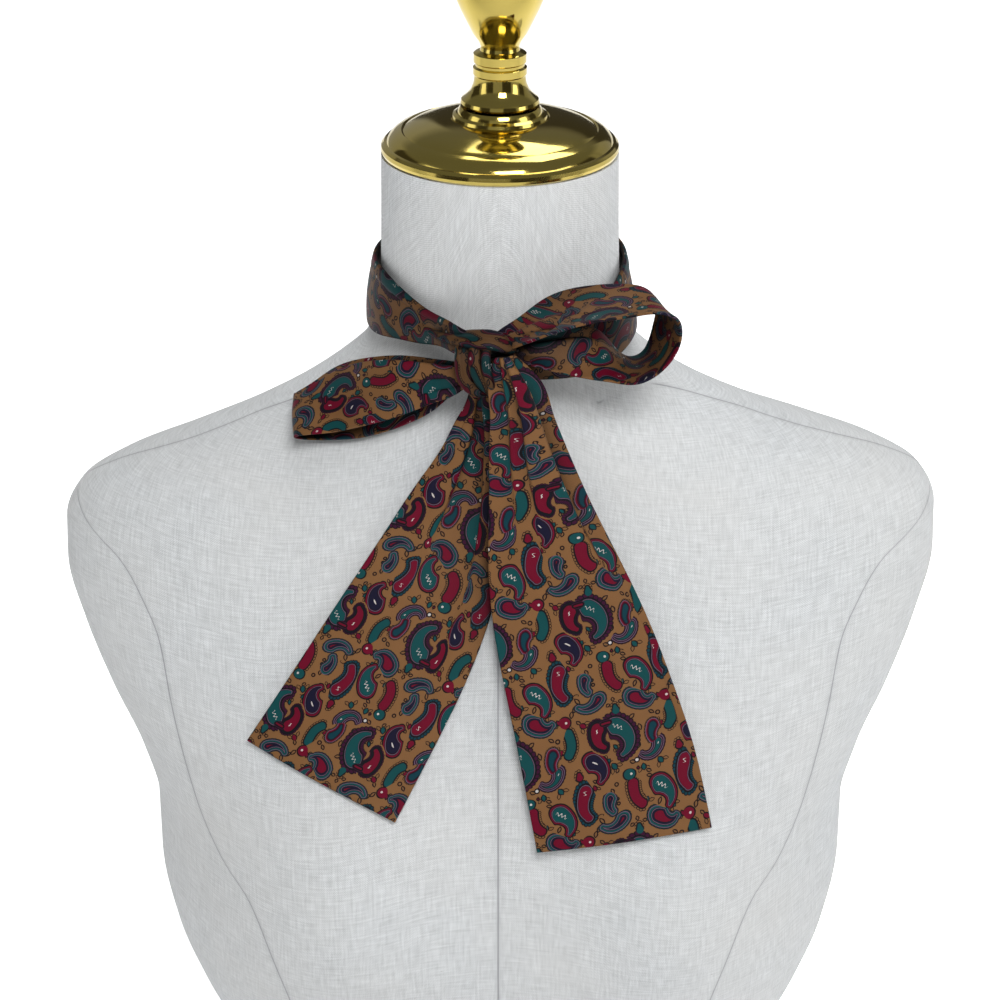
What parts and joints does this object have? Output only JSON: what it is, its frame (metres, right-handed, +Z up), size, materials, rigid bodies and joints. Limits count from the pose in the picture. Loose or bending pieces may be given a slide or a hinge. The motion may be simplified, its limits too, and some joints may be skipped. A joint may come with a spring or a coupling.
{
  "type": "skinny scarf on a dress form",
  "caption": "Narrow paisley scarf tied in a soft bow, its tails hanging, round the brass-capped neck of a limbless linen dress form that displays neckwear.",
  "frame": {"origin": "The centre of the form's underside, on the surface that it stands on, straight below the middle of the shoulders.", "axes": "+Z up along the neck, the front of the form faces -Y, and +X points to the form's left side, which is on the right of the picture."},
  "size_m": [0.387, 0.2235, 0.6709],
  "materials": {
    "printed_cloth": "printed twill, soft satin sheen",
    "linen_cover": "woven, matte",
    "polished_brass": "polished",
    "base_board": "painted, matte"
  },
  "bodies": {
    "root": {"base_plate": "base_board", "form_body": "linen_cover", "neck_cap": "polished_brass", "finial": "polished_brass", "neck_band": "printed_cloth", "knot": "printed_cloth", "loop_left": "printed_cloth", "loop_right": "printed_cloth", "tail_left": "printed_cloth", "tail_right": "printed_cloth"}
  },
  "joints": []
}
